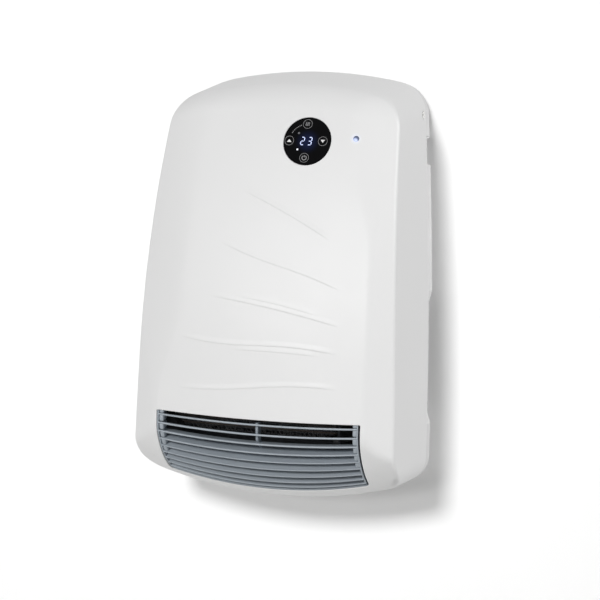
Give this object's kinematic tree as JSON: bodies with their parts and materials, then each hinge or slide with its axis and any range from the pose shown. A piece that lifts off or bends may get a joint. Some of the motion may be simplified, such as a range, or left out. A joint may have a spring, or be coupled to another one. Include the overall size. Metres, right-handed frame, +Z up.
{
  "type": "wall fan heater",
  "caption": "White wall fan heater with a bowed, leaning face, a round touch panel near the top and a curved louvre grille along its lower edge.",
  "frame": {"origin": "on the wall, at the middle of the four screw holes of the wall bracket", "axes": "+Z up, -Y out of the wall toward the room, +X to the right seen from the front"},
  "size_m": [0.2456, 0.1368, 0.388],
  "materials": {
    "cover_white": "satin, fine moulded grain",
    "grille_grey": "satin blue-grey",
    "case_white": "satin",
    "bracket_steel": "zinc plated",
    "screw_steel": "zinc plated",
    "grommet_rubber": "matt",
    "terminal_grey": "satin",
    "glass_black": "gloss, printed black behind",
    "duct_grey": "satin",
    "board_green": "lacquered",
    "display_grey": "satin",
    "spring_steel": "bright",
    "lens_clear": "polished",
    "led_white": "gloss",
    "ribbon_grey": "satin",
    "relay_black": "satin",
    "capacitor_yellow": "gloss",
    "transformer_brown": "varnished",
    "frame_black": "matt",
    "fin_aluminium": "bright",
    "bar_brown": "matt",
    "shaft_steel": "ground",
    "bush_bronze": "sintered, oiled",
    "stack_steel": "pressed laminations",
    "coil_copper": "enamelled wire, taped",
    "bracket_cast": "die cast"
  },
  "bodies": {
    "case": {"front_cover": "cover_white", "outlet_grille": "grille_grey", "rear_case": "case_white", "wall_bracket": "bracket_steel", "lock_screw": "screw_steel", "cover_screws": "screw_steel", "cable_grommet": "grommet_rubber", "cable_clamp": "case_white", "clamp_screws": "screw_steel", "terminal_block": "terminal_grey", "control_glass": "glass_black", "panel_holder": "duct_grey", "display_board": "board_green", "digit_display": "display_grey", "touch_springs": "spring_steel", "indicator_lens": "lens_clear", "indicator_led": "led_white", "display_ribbon": "ribbon_grey", "power_board": "board_green", "board_screws": "screw_steel", "relay_left": "relay_black", "relay_right": "relay_black", "mains_capacitor": "capacitor_yellow", "supply_transformer": "transformer_brown", "duct_rear": "duct_grey", "duct_front": "duct_grey", "duct_end_left": "duct_grey", "duct_end_right": "duct_grey", "duct_screws": "screw_steel", "heater_frame": "frame_black", "fin_pack_1": "fin_aluminium", "fin_pack_2": "fin_aluminium", "fin_pack_3": "fin_aluminium", "fin_pack_4": "fin_aluminium", "ptc_bar_1": "bar_brown", "ptc_bar_2": "bar_brown", "ptc_bar_3": "bar_brown", "thermal_cutout": "relay_black", "thermal_fuse": "screw_steel", "fan_bush": "bush_bronze", "bush_mount": "grommet_rubber", "motor_stator": "stack_steel", "motor_bobbin": "case_white", "motor_coil": "coil_copper", "motor_bracket_inner": "bracket_cast", "motor_bracket_outer": "bracket_cast", "motor_screws": "screw_steel"},
    "fan": {"fan_wheel": "fin_aluminium", "fan_shaft": "shaft_steel", "fan_pin": "shaft_steel", "motor_rotor": "stack_steel"}
  },
  "joints": [
    {"name": "fan_spin", "type": "hinge", "parent": "case", "child": "fan", "pos_m": [0, -0.074, -0.06], "axis": [1, 0, 0], "continuous": true}
  ]
}
